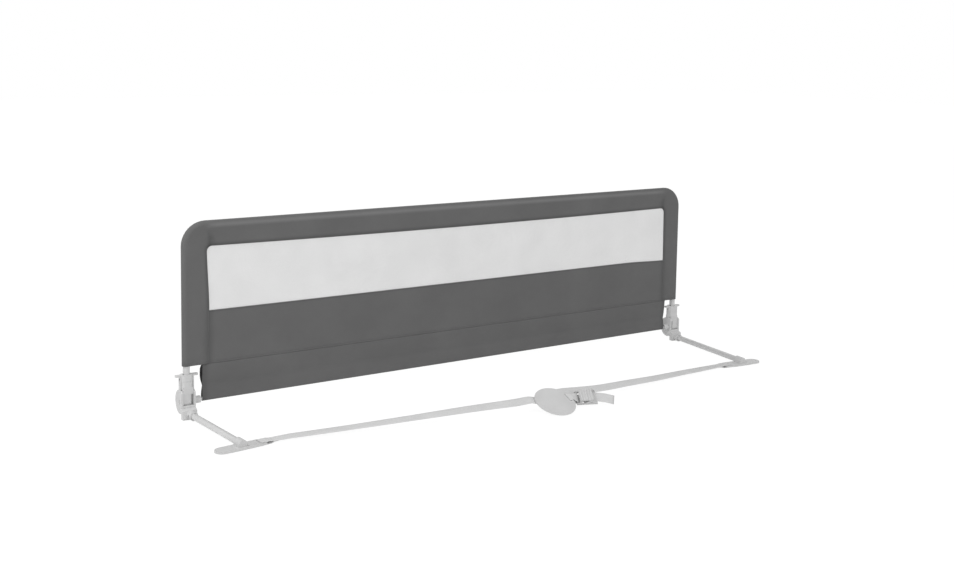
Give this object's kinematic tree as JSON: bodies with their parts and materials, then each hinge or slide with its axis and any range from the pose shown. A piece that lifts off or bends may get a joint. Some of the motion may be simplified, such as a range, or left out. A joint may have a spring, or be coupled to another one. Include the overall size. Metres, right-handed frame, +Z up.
{
  "type": "folding bed guard rail",
  "caption": "Long low fabric guard rail for a bed, with a net window, latched folding hinges on two flat legs, and a webbing strap with a cam buckle.",
  "frame": {"origin": "middle of the bounding box's underside, on the plane that the legs stand on", "axes": "+X along the rail, +Y to the outer side of the bed where the rail folds down, +Z up; the legs reach towards -Y under the mattress"},
  "size_m": [1.5528, 0.4658, 0.4549],
  "materials": {
    "painted_steel_tube": "satin powder coat",
    "bright_steel": "plain zinc",
    "dark_grey_cloth": "matt woven polyester",
    "pale_net": "fine knitted mesh",
    "pale_webbing": "woven flat webbing",
    "grey_rubber": "soft matt",
    "white_plastic": "fine satin moulded"
  },
  "bodies": {
    "base": {"anchor_disc": "white_plastic", "base_bracket_left": "white_plastic", "base_bracket_right": "white_plastic", "buckle_frame": "white_plastic", "buckle_link": "pale_webbing", "cross_tube": "painted_steel_tube", "cross_tube_bushing_left": "white_plastic", "cross_tube_bushing_right": "white_plastic", "foot_left": "white_plastic", "foot_pad_left": "grey_rubber", "foot_pad_right": "grey_rubber", "foot_right": "white_plastic", "leg_screw_left": "bright_steel", "leg_screw_right": "bright_steel", "leg_tube_left": "painted_steel_tube", "leg_tube_right": "painted_steel_tube", "lever_pin": "bright_steel", "pivot_pin_left": "bright_steel", "pivot_pin_right": "bright_steel", "strap_left": "pale_webbing", "strap_right": "pale_webbing"},
    "rail": {"fabric_cover": "dark_grey_cloth", "knuckle_left": "white_plastic", "knuckle_right": "white_plastic", "lock_spring_left": "bright_steel", "lock_spring_right": "bright_steel", "lower_flap": "dark_grey_cloth", "post_screw_left": "bright_steel", "post_screw_right": "bright_steel", "post_tube_left": "painted_steel_tube", "post_tube_right": "painted_steel_tube", "spring_stop_pin_left": "bright_steel", "spring_stop_pin_right": "bright_steel", "top_tube": "painted_steel_tube", "tube_joiner_left": "bright_steel", "tube_joiner_right": "bright_steel", "window_net": "pale_net"},
    "release_left": {"release_collar_left": "white_plastic", "cross_pin_left": "bright_steel"},
    "release_right": {"release_collar_right": "white_plastic", "cross_pin_right": "bright_steel"},
    "cam": {"cam_lever": "white_plastic"}
  },
  "joints": [
    {"name": "rail_fold", "type": "hinge", "parent": "base", "child": "rail", "pos_m": [0, 0.20486, 0.038], "axis": [-1, 0, 0], "range_deg": [0, 180]},
    {"name": "release_slide_left", "type": "slide", "parent": "rail", "child": "release_left", "axis": [0, 0, 1], "range_m": [0, 0.0095], "stiffness_N_per_m": 400, "springref_m": -0.02, "deforming": ["lock_spring_left"]},
    {"name": "release_slide_right", "type": "slide", "parent": "rail", "child": "release_right", "axis": [0, 0, 1], "range_m": [0, 0.0095], "stiffness_N_per_m": 400, "springref_m": -0.02, "deforming": ["lock_spring_right"]},
    {"name": "cam_lever_pivot", "type": "hinge", "parent": "base", "child": "cam", "pos_m": [0.12043, -0.19938, 0.02605], "axis": [0.262, 0.7198, 0.6428], "range_deg": [0, 75], "stiffness_Nm_per_rad": 0.05, "springref_deg": -22.92}
  ]
}
